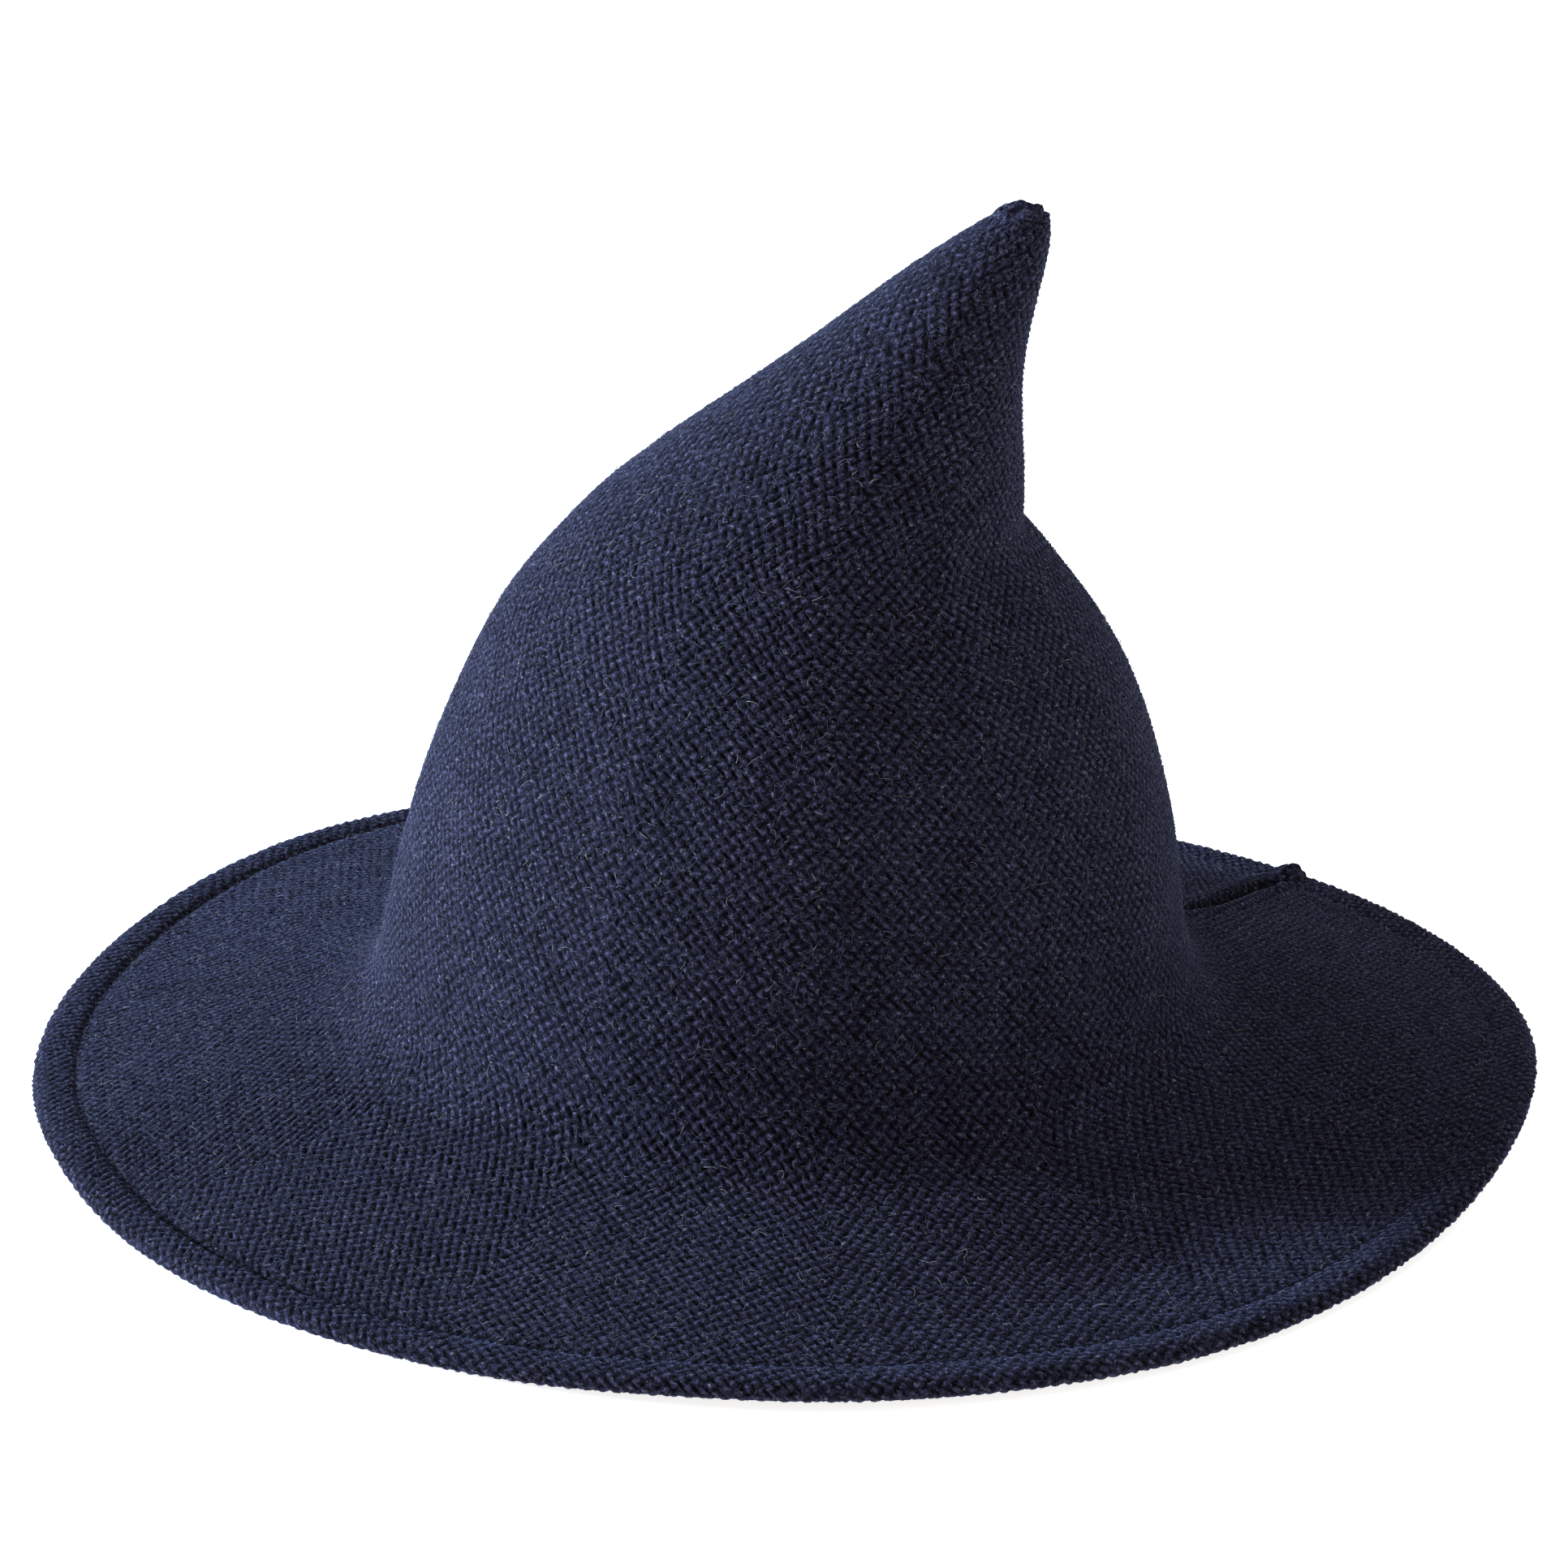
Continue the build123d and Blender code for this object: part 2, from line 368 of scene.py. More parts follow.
def knit_panel():
    """The whole knitted panel: outer face, inner face, and the edges that join them."""
    wide = 2048
    step = 0.6
    # the grid gets twice the columns at each of these radii
    radii = (12.5, 25.0, 50.0, 101.5)
    stops = [0.0, *np.interp(radii, RUN_R, RUN), LENGTH]
    counts = [wide >> k for k in range(len(radii), -1, -1)]
    blocks, piles, faces = [], [], []
    total = 0

    def add_side(counts, step, inset, flip):
        """Add one face of the fabric, and return its first and last rings: first point and count."""
        nonlocal total
        last = None
        ends = []
        for k, n in enumerate(counts):
            rows = max(3, int(round((stops[k + 1] - stops[k]) / step)))
            s = np.linspace(stops[k], stops[k + 1], rows + 1)
            if k < len(counts) - 1:
                s = s[:-1]
            # neighbours on both sides of the block keep the normals true at its ends
            gap = (stops[k + 1] - stops[k]) / rows
            padded = np.concatenate([[s[0] - gap], s, [s[-1] + gap]])
            grid, pile = knit_rows(n, np.clip(padded, 0, LENGTH), inset, flip)
            grid, pile = grid[1:-1], pile[1:-1]
            if last is None:
                ends.append((total, n))
            block = [ring_faces(total + i * n, total + (i + 1) * n, n) for i in range(len(s) - 1)]
            if last is not None:
                block.append(step_faces(last, total, n // 2))
            for f in block:
                faces.append(f[:, ::-1] if flip else f)
            blocks.append(grid.reshape(-1, 3))
            piles.append(pile.ravel())
            last = total + (len(s) - 1) * n
            total += len(s) * n
        ends.append((last, counts[-1]))
        return ends

    outer = add_side(counts, step, 0.0, False)
    inner = add_side([n // 2 for n in counts], step * 2.2, KNIT, True)
    for (a, n), (b, m), flip in ((outer[0], inner[0], True), (outer[1], inner[1], False)):
        f = step_faces(b, a, m)
        faces.append(f if flip else f[:, ::-1])
    by_size = [np.concatenate([f for f in faces if f.shape[1] == k]) for k in (4, 5)]
    return make_mesh("knit_panel", np.concatenate(blocks), by_size, {"pile": np.concatenate(piles)})


# The turned edge in section, anticlockwise from the sewn line: radius, height.
HEM_PROFILE = np.array([
    (HEM_INNER - 1.8, 4.2), (HEM_INNER + 0.1, 5.1), (HEM_INNER + 2.6, 5.5), (HEM_INNER + 6.4, 5.6),
    (HEM_INNER + 9.3, 5.1), (BRIM_RADIUS, 3.2), (HEM_INNER + 9.6, 1.3), (HEM_INNER + 6.5, 0.7),
    (HEM_INNER + 2.5, 0.8), (HEM_INNER - 1.0, 1.4), (HEM_INNER - 2.0, 2.6),
])


def hem_band():
    """The turned edge: a flattened closed tube of knitting round the wire."""
    n = 2048
    run, radius, height = by_length(np.vstack([HEM_PROFILE, HEM_PROFILE[:1]]))
    rows = int(run[-1] / (0.6))
    q = np.arange(rows) / rows * run[-1]
    phi, along = lattice(n, q)
    r = np.interp(along, run, radius)
    z = np.interp(along, run, height)
    base = place(phi, r, z)
    wrapped = np.concatenate([base[-1:], base, base[:1]])
    normals = grid_normals(wrapped)[1:-1]
    pile = knit(phi, LENGTH + along, r, np.ones_like(r))
    from_seam = r * np.radians(turn(phi, seam_azimuth(r)))
    pinch = 1.4 * bump(from_seam, 0, 1.6)
    sunk = sewn_line(phi, r) * (z > 3.5)
    points = base + normals * ((pile - 0.75) * RELIEF - pinch - sunk)[..., None]
    points[..., 2] = np.maximum(points[..., 2], 0.05)
    faces = [ring_faces(i * n, ((i + 1) % rows) * n, n) for i in range(rows)]
    return make_mesh("brim_hem_band", points.reshape(-1, 3), [np.concatenate(faces)], {"pile": pile})


def gathered_tip():
    """The closed end of the tip: the fabric turns in over two low lobes with a fold between them."""
    n, rows = ((192, 60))
    phi = np.arange(n) / n * 2 * math.pi
    t = np.linspace(0, 1, rows)
    phi, t = np.meshgrid(phi, t)
    # the edge starts inside the open end, bulges over it and closes in the middle
    r_edge, z_edge = RUN_R[0], RUN_Z[0]
    r = (r_edge + 0.5) * np.sin(np.clip(0.62 + 0.38 * t / 0.22, 0, 1) * math.pi / 2)
    r = np.where(t < 0.22, r, (r_edge + 0.5) * (1 - ((t - 0.22) / 0.78) ** 1.25))
    z = z_edge - 1.7 + 2.0 * smooth(t / 0.34) + 0.9 * np.sin(np.clip(t, 0, 1) * math.pi / 2)
    x, y = r * np.cos(phi), r * np.sin(phi) * 0.94
    # a left and a right lobe, the fold between them and one in front; the right lobe slopes away
    z = z + 1.6 * bump(np.hypot(x + 2.2, y - 0.3), 0, 3.0) + 0.7 * bump(np.hypot(x - 3.0, y), 0, 2.2)
    z = z - 0.9 * bump(np.hypot(x - 1.2, y + 0.6), 0, 1.5) - 0.8 * bump(np.hypot(x + 2.8, y + 4.4), 0, 1.3)
    z = z - 1.5 * smooth((x - 2.6) / 4.2) * smooth(t / 0.2)
    x = x * (1 - 0.06 * smooth(x / 6.5))
    pleats = 0.28 * np.cos(8 * phi + 1.9 * np.sin(2 * phi)) * np.sin(t * math.pi)
    base = place(np.zeros_like(r), np.zeros_like(r), z)
    base = base + np.stack([x, y, pleats], -1)
    pile = knit(phi, t * r_edge * 1.5, np.maximum(r, 2.0), np.ones_like(r))
    normals = grid_normals(base)
    points = base + normals * ((pile - 0.7) * 0.28 * RELIEF)[..., None]
    pile = 0.45 + 0.5 * pile
    points[-1] = points[-1].mean(0)
    faces = [ring_faces(i * n, (i + 1) * n, n)[:, ::-1] for i in range(rows - 1)]
    return make_mesh("gathered_tip", points.reshape(-1, 3), [np.concatenate(faces)], {"pile": pile})


def tubes(name, paths, radii, sides, closed=False, attributes=None):
    """One mesh of round tubes along paths of equal length, with capped ends unless they are closed."""
    paths = np.asarray(paths, float)
    count, steps, _ = paths.shape
    if closed:
        along = np.roll(paths, -1, axis=1) - np.roll(paths, 1, axis=1)
    else:
        along = np.gradient(paths, axis=1)
    along = along / np.linalg.norm(along, axis=-1, keepdims=True)
    up = np.where(np.abs(along[..., 2:]) > 0.9, [[[1.0, 0, 0]]], [[[0, 0, 1.0]]])
    side = np.cross(along, up)
    side = side / np.linalg.norm(side, axis=-1, keepdims=True)
    other = np.cross(side, along)
    angle = np.arange(sides) / sides * 2 * math.pi
    radii = np.broadcast_to(np.asarray(radii, float), (count, steps))[..., None, None]
    spokes = side[:, :, None] * np.cos(angle)[:, None] + other[:, :, None] * np.sin(angle)[:, None]
    points = (paths[:, :, None] + radii * spokes).reshape(-1, 3)
    first = np.arange(count)[:, None, None] * steps * sides
    ring = np.arange(steps if closed else steps - 1)[:, None]
    i = np.arange(sides)
    j = (i + 1) % sides
    here, after = ring * sides, (ring + 1) % steps * sides
    quads = np.stack([here + i, here + j, after + j, after + i], -1).reshape(1, -1, 4) + first
    face_sets = [quads.reshape(-1, 4)]
    if not closed:
        start = i[::-1][None] + first[:, :, 0]
        end = i[None] + (steps - 1) * sides + first[:, :, 0]
        face_sets.append(np.concatenate([start, end]))
    spread = {key: np.repeat(values, steps * sides) for key, values in (attributes or {}).items()}
    return make_mesh(name, points, face_sets, spread)


def hem_wire():
    """Bendable wire inside the hem; its two ends meet at the back seam."""
    gap = math.radians(0.5)
    phi = np.linspace(gap, 2 * math.pi - gap, 361) + math.radians(BACK_SEAM)
    path = place(phi, np.full_like(phi, WIRE_TRACK), np.full_like(phi, WIRE_Z))
    return tubes("hem_wire", [path], WIRE_RADIUS, 16)


def crimped_ferrule():
    """Sleeve over the wire's ends, with two crimps."""
    phi = np.radians(np.linspace(-2.5, 2.5, 41) + BACK_SEAM)
    path = place(phi, np.full_like(phi, WIRE_TRACK), np.full_like(phi, WIRE_Z))
    along = np.linspace(-1, 1, len(phi))
    radii = 1.4 - 0.35 * bump(np.abs(along), 0.5, 0.13)
    return tubes("crimped_ferrule", [path], radii, 20)


def stitch_paths(count, length, start, end_depth, middle_depth, at, seed):
    """Paths of running stitches round the hat; each rises from the fabric and dives back in."""
    rng = np.random.default_rng(seed)
    t = np.linspace(-1, 1, 9)
    paths = []
    for i in range(count):
        middle = start + 2 * math.pi * (i + 0.5 + rng.uniform(-0.06, 0.06)) / count
        phi = middle + t * length / 2 * rng.uniform(0.9, 1.1)
        depth = middle_depth + (end_depth - middle_depth) * np.abs(t) ** 2.4
        paths.append(at(phi, depth, rng.uniform(-0.15, 0.15)))
    return paths


def hem_sewing():
    """Running stitches in the furrow above the turned edge."""
    def at(phi, depth, aside):
        r = np.full_like(phi, HEM_INNER + 0.3 + aside)
        sunk = sewn_line(phi, r)
        return place(phi, r, 4.95 - sunk - depth)

    paths = stitch_paths(HEM_STITCHES, math.radians(1.25), 0.0, 1.0, 0.05, at, 41)
    return tubes("hem_sewing", paths, 0.30, 8)


def band_sewing():
    """Stitches through the ribbon's lower edge into the crown."""
    low = run_at_height(BAND_BOTTOM + 3.0)

    def at(phi, depth, aside):
        return on_fabric(phi, np.full_like(phi, low + aside), KNIT + 1.35 - depth)[0]

    paths = stitch_paths(BAND_STITCHES, math.radians(1.6), 0.02, 0.9, 0.0, at, 42)
    return tubes("band_sewing", paths, 0.28, 8)


def ribbon_ring(name, start, sweep, profile, ribs, columns):
    """Strip of ribbed ribbon on the inner wall. The profile is a closed loop of height and depth."""
    whole = sweep > 359
    n = columns + (0 if whole else 1)
    phi = math.radians(start) + np.arange(n) / columns * math.radians(sweep)
    chord = np.vstack([profile, profile[:1]])
    run, height, depth = by_length(chord, 0.05)
    rows = len(profile) * 5
    q = np.arange(rows) / rows * run[-1]
    phi, along = np.meshgrid(phi, q)
    height, depth = np.interp(along, run, height), np.interp(along, run, depth)
    rib = 0.10 * np.cos(phi * ribs)
    slack = 0.25 * waves(phi * 93, height, 40, 31)
    points, _ = on_fabric(phi, run_at_height(height), depth - rib + slack)
    if whole:
        faces = [ring_faces(i * n, ((i + 1) % rows) * n, n) for i in range(rows)]
    else:
        faces = [ring_faces(i * n, ((i + 1) % rows) * n, n)[:-1] for i in range(rows)]
    face_sets = [np.concatenate(faces)[:, ::-1]]
    if not whole:
        ends = [np.arange(rows) * n, (np.arange(rows) * n + n - 1)[::-1]]
        face_sets.append(np.array(ends))
    return make_mesh(name, points.reshape(-1, 3), face_sets)


def inner_ribbon():
    """Grosgrain ribbon round the head opening, with its lower edge turned out to the wall."""
    off, thick = KNIT + 0.5, 0.7
    profile = np.array([
        (BAND_TOP, off), (BAND_TOP - 8, off), (BAND_TOP - 16, off),
        (BAND_BOTTOM + 3, off), (BAND_BOTTOM + 1, off - 0.3), (BAND_BOTTOM + 0.8, off + thick),
        (BAND_BOTTOM + 3, off + thick + 0.1), (BAND_TOP - 16, off + thick), (BAND_TOP - 8, off + thick),
        (BAND_TOP, off + thick),
    ])
    return ribbon_ring("inner_ribbon", 0, 360, profile, 640, 2560)


def ribbon_overlap():
    """Second layer where the ribbon's ends lap, between the band and the wall."""
    low, high = BAND_BOTTOM + 3.6, BAND_TOP - 8
    off = KNIT + 0.05
    profile = np.array([(high, off), (low, off), (low, off + 0.35), (high, off + 0.35)])
    return ribbon_ring("ribbon_overlap", 86, 8, profile, 640, 160)


def satin_label():
    """Blank folded satin label on the inner wall at the back."""
    off = KNIT + 0.7
    profile = np.array([
        (LABEL_TOP, off), (LABEL_TOP - 12, off + 0.2), (LABEL_BOTTOM, off),
        (LABEL_BOTTOM, off + 0.5), (LABEL_TOP - 12, off + 0.9), (LABEL_TOP, off + 0.5),
    ])
    return ribbon_ring("satin_label", LABEL_AZIMUTH - LABEL_HALF, 2 * LABEL_HALF, profile, 0, 160)


def label_sewing():
    """Two short rows of stitches that hold the label's sides."""
    paths = []
    for side in (1.5 - LABEL_HALF, LABEL_HALF - 1.5):
        for z in np.arange(LABEL_BOTTOM + 2, LABEL_TOP - 2, 2.6):
            heights = np.linspace(z, z + 1.7, 7)
            depth = KNIT + 1.5 - 0.8 * np.abs(np.linspace(-1, 1, 7)) ** 2.4
            phi = np.full(7, math.radians(LABEL_AZIMUTH + side))
            paths.append(on_fabric(phi, run_at_height(heights), depth)[0])
    return tubes("label_sewing", paths, 0.22, 6)


def draw_yarn():
    """Two turns of two-ply yarn that pull the last loops shut, inside the tip."""
    low, high = cad_mm("tip_draw_yarn")
    middle = (low + high) / 2
    paths = []
    phi = np.linspace(0, 2 * math.pi, 121)[:-1]
    for radius, twists in ((5.6, 16), (3.6, 10)):
        for ply in (0, math.pi):
            r = radius + 0.38 * np.cos(phi * twists + ply)
            z = middle[2] + 0.38 * np.sin(phi * twists + ply)
            paths.append(np.stack([middle[0] + r * np.cos(phi), r * np.sin(phi), z], -1))
    return tubes("draw_yarn", paths, 0.42, 8, closed=True)


def seam_lump():
    """Bunched end of the back seam, sewn over the rim: a small knobbly pad of knitting."""
    n, rows = 96, 60
    phi = np.arange(n) / n * 2 * math.pi
    t = np.linspace(0.02, 0.98, rows)
    phi, t = np.meshgrid(phi, t)
    polar = t * math.pi
    knobs = 1 + 0.07 * np.sin(5 * phi + 2) * np.sin(3 * polar) + 0.05 * np.sin(9 * phi) * np.sin(6 * polar)
    x = 5.0 * np.sin(polar) * np.cos(phi) * knobs
    y = 5.2 * np.sin(polar) * np.sin(phi) * knobs
    z = 2.9 * np.cos(polar) * knobs - 0.32 * np.abs(y)
    azimuth = math.radians(float(seam_azimuth(HEM_INNER)))
    centre = place(np.array(azimuth), np.array(HEM_INNER + 4.6), np.array(6.0))
    points = np.stack([x * math.cos(azimuth) - y * math.sin(azimuth),
                       x * math.sin(azimuth) + y * math.cos(azimuth), z], -1) + centre
    pile = 0.62 + 0.22 * waves(x, y + z, 1.9, 51) + 0.22 * waves(x - z, y, 2.7, 52)
    points = points + grid_normals(points) * (-0.3 * (pile - 0.5))[..., None]
    points[0], points[-1] = points[0].mean(0), points[-1].mean(0)
    faces = [ring_faces(i * n, (i + 1) * n, n)[:, ::-1] for i in range(rows - 1)]
    return make_mesh("seam_end_lump", points.reshape(-1, 3), [np.concatenate(faces)], {"pile": pile})


def seam_ridge(name, start, end):
    """Overcast edges of the back seam, on the fabric's inner face, between two distances from the tip."""
    steps, sides = int((end - start) / 0.5), 20
    s = np.linspace(start, end, steps)
    angle = np.arange(sides) / sides * 2 * math.pi
    s, angle = np.meshgrid(s, angle, indexing="ij")
    whip = 1 + 0.13 * np.cos(s * 2 * math.pi / 3.1 + 1.2 * np.cos(angle)) + 0.05 * waves(s, angle * 2, 9, 61)
    taper = smooth((s - start) / 2 + 0.3) * smooth((end - s) / 2 + 0.3)
    across = 1.7 * np.cos(angle) * whip * taper
    depth = KNIT + 0.35 + 0.95 * np.sin(angle) * whip * taper
    r = np.interp(s, RUN, RUN_R)
    points, _ = on_fabric(np.radians(seam_azimuth(r)) + across / r, s, depth)
    faces = [ring_faces(i * sides, (i + 1) * sides, sides) for i in range(steps - 1)]
    ends = np.array([np.arange(sides)[::-1], np.arange(sides) + (steps - 1) * sides])
    return make_mesh(name, points.reshape(-1, 3), [np.concatenate(faces), ends])


def loose_fibres(count):
    """Single curved wool fibres that stand out of the knitting."""
    rng = np.random.default_rng(77)
    table = np.cumsum(RUN_R)
    s = np.interp(rng.uniform(0, table[-1], count), table, RUN)
    phi = rng.uniform(0, 2 * math.pi, count)
    length = rng.uniform(1.2, 4.6, count)
    heading = rng.uniform(0, 2 * math.pi, count)
    curl = rng.normal(0, 1.5, count)
    rise = rng.uniform(0.25, 1.1, count)
    steps = 5
    t = np.linspace(0, 1, steps)
    angle = heading[:, None] + curl[:, None] * t
    dx = np.cumsum(np.cos(angle), axis=1) * length[:, None] / steps
    dy = np.cumsum(np.sin(angle), axis=1) * length[:, None] / steps
    r = np.interp(s, RUN, RUN_R)[:, None]
    at_phi = phi[:, None] + dx / np.maximum(r, 4)
    at_s = np.clip(s[:, None] + dy, 0.6, LENGTH - 0.6)
    height = -0.25 + rise[:, None] * np.sin(t * rng.uniform(1.2, 3.0, count)[:, None])
    paths, _ = on_fabric(at_phi, at_s, -height)
    radii = rng.uniform(0.045, 0.085, count)[:, None] * (1 - 0.5 * t)
    return tubes("loose_fibres", paths, radii, 3, attributes={"shade": rng.uniform(0, 1, count)})


# ---------------------------------------------------------------- materials
def node_material(name):
    made = bpy.data.materials.new(name)
    made.use_nodes = True
    nodes, links = made.node_tree.nodes, made.node_tree.links
    return made, nodes, links, nodes["Principled BSDF"]


def noise(nodes, links, vector, scale, detail=4.0, roughness=0.6):
    made = nodes.new("ShaderNodeTexNoise")
    made.inputs["Scale"].default_value = scale
    made.inputs["Detail"].default_value = detail
    made.inputs["Roughness"].default_value = roughness
    links.new(vector, made.inputs["Vector"])
    return made.outputs["Fac"]


def ramp(nodes, links, fac, stops):
    made = nodes.new("ShaderNodeValToRGB")
    made.color_ramp.elements[0].position = stops[0][0]
    made.color_ramp.elements[0].color = (*stops[0][1], 1)
    made.color_ramp.elements[1].position = stops[-1][0]
    made.color_ramp.elements[1].color = (*stops[-1][1], 1)
    for position, colour in stops[1:-1]:
        made.color_ramp.elements.new(position).color = (*colour, 1)
    links.new(fac, made.inputs["Fac"])
    return made.outputs["Color"]


def mix_colour(nodes, links, mode, fac, a, b):
    made = nodes.new("ShaderNodeMix")
    made.data_type = "RGBA"
    made.blend_type = mode
    if isinstance(fac, float):
        made.inputs["Factor"].default_value = fac
    else:
        links.new(fac, made.inputs["Factor"])
    links.new(a, made.inputs["A"])
    links.new(b, made.inputs["B"])
    return made.outputs["Result"]


def bump_from(nodes, links, height, strength, distance):
    made = nodes.new("ShaderNodeBump")
    made.inputs["Strength"].default_value = strength
    made.inputs["Distance"].default_value = distance
    links.new(height, made.inputs["Height"])
    return made


def wool():
    """Napped navy wool: painted shade makes it near black in the stitches' hollows; blue and grey fibres and
    painted glints on their crowns.
    """
    made, nodes, links, shader = node_material("navy_wool")
    coords = nodes.new("ShaderNodeTexCoord").outputs["Object"]
    pile = nodes.new("ShaderNodeAttribute")
    pile.attribute_name = "pile"
    fibre = noise(nodes, links, coords, 1500.0, 1.0, 0.6)
    blotch = noise(nodes, links, coords, 60.0, 3.0, 0.6)
    speck_and_glint_noise = noise(nodes, links, coords, 1050.0, 1.0, 0.5)
    # painted shade: the pile sets the colour, near black in the hollows between stitches, where shade falls,
    # and lighter and bluer on the crowns, as if lit
    hollow = ramp(nodes, links, pile.outputs["Fac"],
                  [(0.08, (0.0010, 0.0009, 0.0015)), (0.40, (0.0062, 0.0061, 0.0111)),
                   (0.75, (0.0225, 0.0219, 0.0430)), (1.0, (0.0500, 0.0490, 0.0965))])
    melange = ramp(nodes, links, fibre,
                   [(0.36, (0.45, 0.45, 0.46)), (0.50, (0.85, 0.85, 0.86)), (0.64, (1.95, 1.92, 1.88))])
    tone = ramp(nodes, links, blotch, [(0.3, (0.84, 0.84, 0.85)), (0.7, (1.12, 1.12, 1.14))])
    colour = mix_colour(nodes, links, "MULTIPLY", 1.0, hollow, melange)
    colour = mix_colour(nodes, links, "MULTIPLY", 1.0, colour, tone)
    # light grey specks, partly pale fibres in the wool and partly painted glints of light on fibres
    grey_fibres_and_glints = ramp(nodes, links, speck_and_glint_noise, [(0.68, (0, 0, 0)), (0.76, (0.10, 0.105, 0.12))])
    colour = mix_colour(nodes, links, "ADD", 1.0, colour, grey_fibres_and_glints)
    links.new(colour, shader.inputs["Base Color"])
    shader.inputs["Roughness"].default_value = 0.95
    shader.inputs["Specular IOR Level"].default_value = 0.06
    shader.inputs["Sheen Weight"].default_value = 0.30
    shader.inputs["Sheen Roughness"].default_value = 0.28
    shader.inputs["Sheen Tint"].default_value = (0.32, 0.43, 0.85, 1)
    fuzz = bump_from(nodes, links, fibre, 0.7, 0.0004)
    links.new(fuzz.outputs["Normal"], shader.inputs["Normal"])
    return made


def fibre_wool():
    """Single fibres: most are navy, some catch the light as grey blue or straw."""
    made, nodes, links, shader = node_material("loose_fibre_wool")
    shade = nodes.new("ShaderNodeAttribute")
    shade.attribute_name = "shade"
    coords = nodes.new("ShaderNodeTexCoord").outputs["Object"]
    patches = noise(nodes, links, coords, 700.0)
    dye = ramp(nodes, links, patches, [(0.3, (0.7, 0.7, 0.7)), (0.7, (1.2, 1.2, 1.2))])
    colour = ramp(nodes, links, shade.outputs["Fac"],
                  [(0.0, (0.010, 0.012, 0.022)), (0.62, (0.030, 0.036, 0.066)),
                   (0.90, (0.085, 0.095, 0.140)), (1.0, (0.30, 0.28, 0.25))])
    links.new(mix_colour(nodes, links, "MULTIPLY", 1.0, colour, dye), shader.inputs["Base Color"])
    shader.inputs["Roughness"].default_value = 0.7
    shader.inputs["Sheen Weight"].default_value = 0.3
    shader.inputs["Sheen Tint"].default_value = (0.5, 0.6, 0.9, 1)
    return made


def spun(name, low, high, scale, grain=0.00015):
    """Yarn or thread: two tones along its fibres, with a fine twist."""
    made, nodes, links, shader = node_material(name)
    coords = nodes.new("ShaderNodeTexCoord").outputs["Object"]
    fibre = noise(nodes, links, coords, scale, 4.0, 0.7)
    links.new(ramp(nodes, links, fibre, [(0.32, low), (0.68, high)]), shader.inputs["Base Color"])
    shader.inputs["Roughness"].default_value = 0.8
    shader.inputs["Specular IOR Level"].default_value = 0.25
    shader.inputs["Sheen Weight"].default_value = 0.2
    shader.inputs["Sheen Tint"].default_value = (0.5, 0.55, 0.8, 1)
    links.new(bump_from(nodes, links, fibre, 0.6, grain).outputs["Normal"], shader.inputs["Normal"])
    return made


def ribbon_weave():
    """Ribbed ribbon: fine warp lines across the ribs, with a slight dull gloss."""
    made, nodes, links, shader = node_material("grosgrain_weave")
    coords = nodes.new("ShaderNodeTexCoord").outputs["Object"]
    split = nodes.new("ShaderNodeSeparateXYZ")
    links.new(coords, split.inputs["Vector"])
    threads = nodes.new("ShaderNodeMath")
    threads.operation = "SINE"
    scaled = nodes.new("ShaderNodeMath")
    scaled.operation = "MULTIPLY"
    scaled.inputs[1].default_value = 2 * math.pi / 0.00042
    links.new(split.outputs["Z"], scaled.inputs[0])
    links.new(scaled.outputs["Value"], threads.inputs[0])
    grain = noise(nodes, links, coords, 2400.0, 2.0, 0.5)
    warp = ramp(nodes, links, threads.outputs["Value"],
                [(0.0, (0.0065, 0.008, 0.018)), (1.0, (0.016, 0.020, 0.042))])
    dye = ramp(nodes, links, grain, [(0.3, (0.75, 0.75, 0.78)), (0.7, (1.2, 1.2, 1.2))])
    links.new(mix_colour(nodes, links, "MULTIPLY", 1.0, warp, dye), shader.inputs["Base Color"])
    shader.inputs["Roughness"].default_value = 0.55
    shader.inputs["Specular IOR Level"].default_value = 0.35
    shader.inputs["Sheen Weight"].default_value = 0.15
    links.new(bump_from(nodes, links, threads.outputs["Value"], 0.5, 0.00008).outputs["Normal"],
              shader.inputs["Normal"])
    return made


def satin():
    """Ivory satin with fine crosswise floats."""
    made, nodes, links, shader = node_material("ivory_satin")
    coords = nodes.new("ShaderNodeTexCoord")
    stretched = nodes.new("ShaderNodeMapping")
    stretched.inputs["Scale"].default_value = (300, 300, 5200)
    links.new(coords.outputs["Object"], stretched.inputs["Vector"])
    floats = noise(nodes, links, stretched.outputs["Vector"], 1.0, 3.0, 0.6)
    links.new(ramp(nodes, links, floats, [(0.3, (0.56, 0.54, 0.49)), (0.7, (0.78, 0.77, 0.72))]),
              shader.inputs["Base Color"])
    shader.inputs["Roughness"].default_value = 0.38
    shader.inputs["Anisotropic"].default_value = 0.5
    links.new(bump_from(nodes, links, floats, 0.4, 0.00005).outputs["Normal"], shader.inputs["Normal"])
    return made


def drawn_metal(name, low, high, roughness):
    """Drawn wire or pressed sleeve: fine scratches and small dull spots."""
    made, nodes, links, shader = node_material(name)
    coords = nodes.new("ShaderNodeTexCoord").outputs["Object"]
    spots = noise(nodes, links, coords, 260.0, 4.0, 0.6)
    scratches = noise(nodes, links, coords, 3800.0, 2.0, 0.5)
    links.new(ramp(nodes, links, spots, [(0.3, low), (0.7, high)]), shader.inputs["Base Color"])
    shader.inputs["Metallic"].default_value = 1.0
    shader.inputs["Roughness"].default_value = roughness
    links.new(bump_from(nodes, links, scratches, 0.3, 0.00003).outputs["Normal"], shader.inputs["Normal"])
    return made


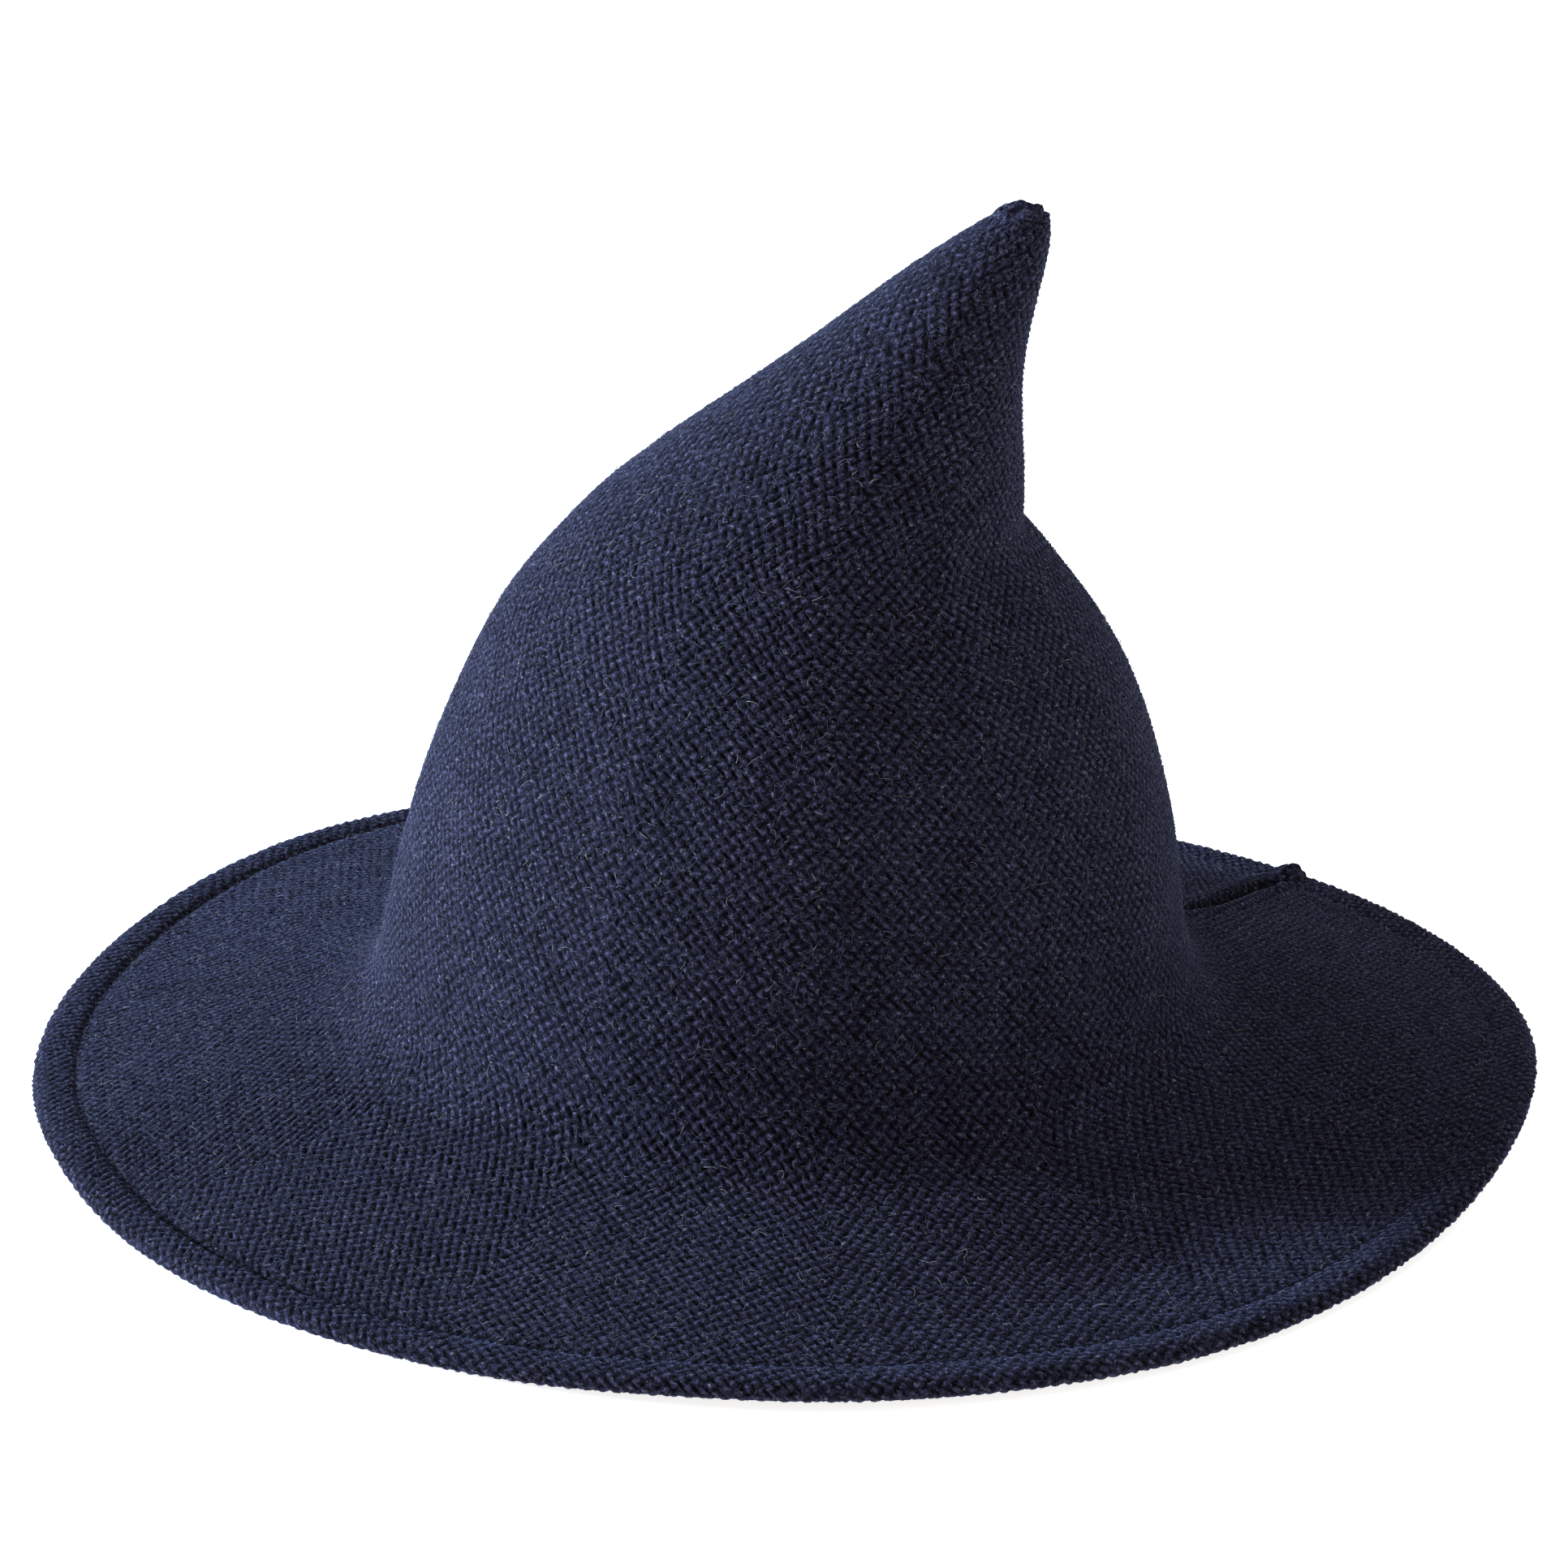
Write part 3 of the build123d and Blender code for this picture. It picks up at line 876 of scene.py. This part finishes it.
def floor_material():
    made, nodes, links, shader = node_material("studio_floor")
    coords = nodes.new("ShaderNodeTexCoord").outputs["Object"]
    grain = noise(nodes, links, coords, 6.0, 2.0, 0.5)
    colour = ramp(nodes, links, grain, [(0.3, (0.88, 0.88, 0.88)), (0.7, (0.90, 0.90, 0.90))])
    links.new(colour, shader.inputs["Base Color"])
    shader.inputs["Roughness"].default_value = 0.9
    shader.inputs["Specular IOR Level"].default_value = 0.1
    # an overlit white table, so that its light also reaches the brim from below
    shader.inputs["Emission Color"].default_value = (1.0, 0.99, 0.97, 1)
    shader.inputs["Emission Strength"].default_value = 0.83
    return made


# ---------------------------------------------------------------- build
WOOL = wool()
FIBRE = fibre_wool()
YARN = spun("navy_yarn", (0.004, 0.005, 0.010), (0.030, 0.034, 0.060), 1700.0)
THREAD = spun("navy_thread", (0.0025, 0.003, 0.007), (0.014, 0.016, 0.034), 3200.0, 0.00008)
LABEL_THREAD = spun("ivory_thread", (0.42, 0.40, 0.36), (0.72, 0.70, 0.66), 3200.0, 0.00008)
RIBBON = ribbon_weave()
SATIN = satin()
STEEL = drawn_metal("drawn_steel", (0.42, 0.42, 0.44), (0.62, 0.62, 0.64), 0.34)
ALUMINIUM = drawn_metal("pressed_aluminium", (0.58, 0.58, 0.60), (0.72, 0.72, 0.73), 0.42)


def finish(piece, material, replaces=(), body="root"):
    """Give a piece its material, slot, body and the CAD nodes that it stands for."""
    piece.data.materials.append(material)
    if body:
        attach(piece, body)
    if replaces:
        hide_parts(*replaces)
    return piece


def follow_bend(piece):
    """Bake a piece's transform into its mesh; nothing is turned or bent."""
    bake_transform(piece)


panel = finish(knit_panel(), WOOL, ["crown_bell", "crown_bend", "crown_tip", "brim_panel"],
               body=None)
follow_bend(panel)
fibres = finish(loose_fibres(20000), FIBRE, body=None)
follow_bend(fibres)
hem = finish(hem_band(), WOOL, ["brim_hem"])
gather = finish(gathered_tip(), WOOL, ["tip_gather"], "tip")
finish(draw_yarn(), YARN, ["tip_draw_yarn"], "tip")
finish(seam_ridge("crown_inner_seam", run_at_height(139.0), run_at_height(56.0)), YARN,
       ["crown_back_seam"])
finish(seam_ridge("brim_under_seam", np.interp(105.0, RUN_R, RUN), LENGTH - 4), YARN,
       ["brim_back_seam"])
lump = finish(seam_lump(), WOOL, ["seam_end_tack"])
finish(hem_wire(), STEEL, ["brim_wire"])
finish(crimped_ferrule(), ALUMINIUM, ["wire_ferrule"])
sewing = finish(hem_sewing(), THREAD, ["hem_stitching"])
ribbon = finish(inner_ribbon(), RIBBON, ["sweatband"])
overlap = finish(ribbon_overlap(), RIBBON, ["sweatband_join"])
band_stitches = finish(band_sewing(), THREAD, ["sweatband_stitching"])
label = finish(satin_label(), SATIN, ["care_label"])
label_stitches = finish(label_sewing(), LABEL_THREAD)

# ---------------------------------------------------------------- studio
bpy.ops.mesh.primitive_circle_add(vertices=96, radius=5.0, fill_type="NGON", location=(0, 0, -0.0004))
floor = bpy.context.object
floor.name = "studio_floor"
floor.data.materials.append(floor_material())


def area_light(name, place_at, target, size, power, colour=(1, 1, 1)):
    data = bpy.data.lights.new(name, "AREA")
    data.shape = "DISK"
    data.size = size
    data.energy = power
    data.color = colour
    made = bpy.data.objects.new(name, data)
    bpy.context.scene.collection.objects.link(made)
    made.location = place_at
    made.rotation_euler = (Vector(target) - Vector(place_at)).to_track_quat("-Z", "Y").to_euler()
    return made


area_light("key_left", (-1.76, 0.0, 0.454), (0, 0, 0.08), 0.5, 77.0, (0.67, 0.85, 1.0))
area_light("back_left", (-1.19, 0.69, 1.237), (0, 0, 0.08), 0.7, 8.5, (0.88, 0.95, 1.0))
area_light("back_right", (1.05, 0.3, 1.55), (0, 0, 0.05), 0.8, 8.0, (0.86, 0.93, 1.0))

world = bpy.data.worlds.new("studio")
world.use_nodes = True
world.node_tree.nodes["Background"].inputs["Color"].default_value = (1.0, 0.955, 0.90, 1)
world.node_tree.nodes["Background"].inputs["Strength"].default_value = 0.35
bpy.context.scene.world = world
bpy.context.scene.view_settings.view_transform = "Standard"

ELEVATION = math.radians(21.0)
DISTANCE = 1.1736
TARGET = Vector((0, 0, 0.0725))
camera_data = bpy.data.cameras.new("camera")
camera_data.lens = 110.0
camera_data.sensor_width = 36.0
camera = bpy.data.objects.new("camera", camera_data)
bpy.context.scene.collection.objects.link(camera)
camera.location = TARGET + DISTANCE * Vector((0, -math.cos(ELEVATION), math.sin(ELEVATION)))
camera.rotation_euler = (TARGET - camera.location).to_track_quat("-Z", "Y").to_euler()
camera_data.clip_start, camera_data.clip_end = 0.05, 50
bpy.context.scene.camera = camera
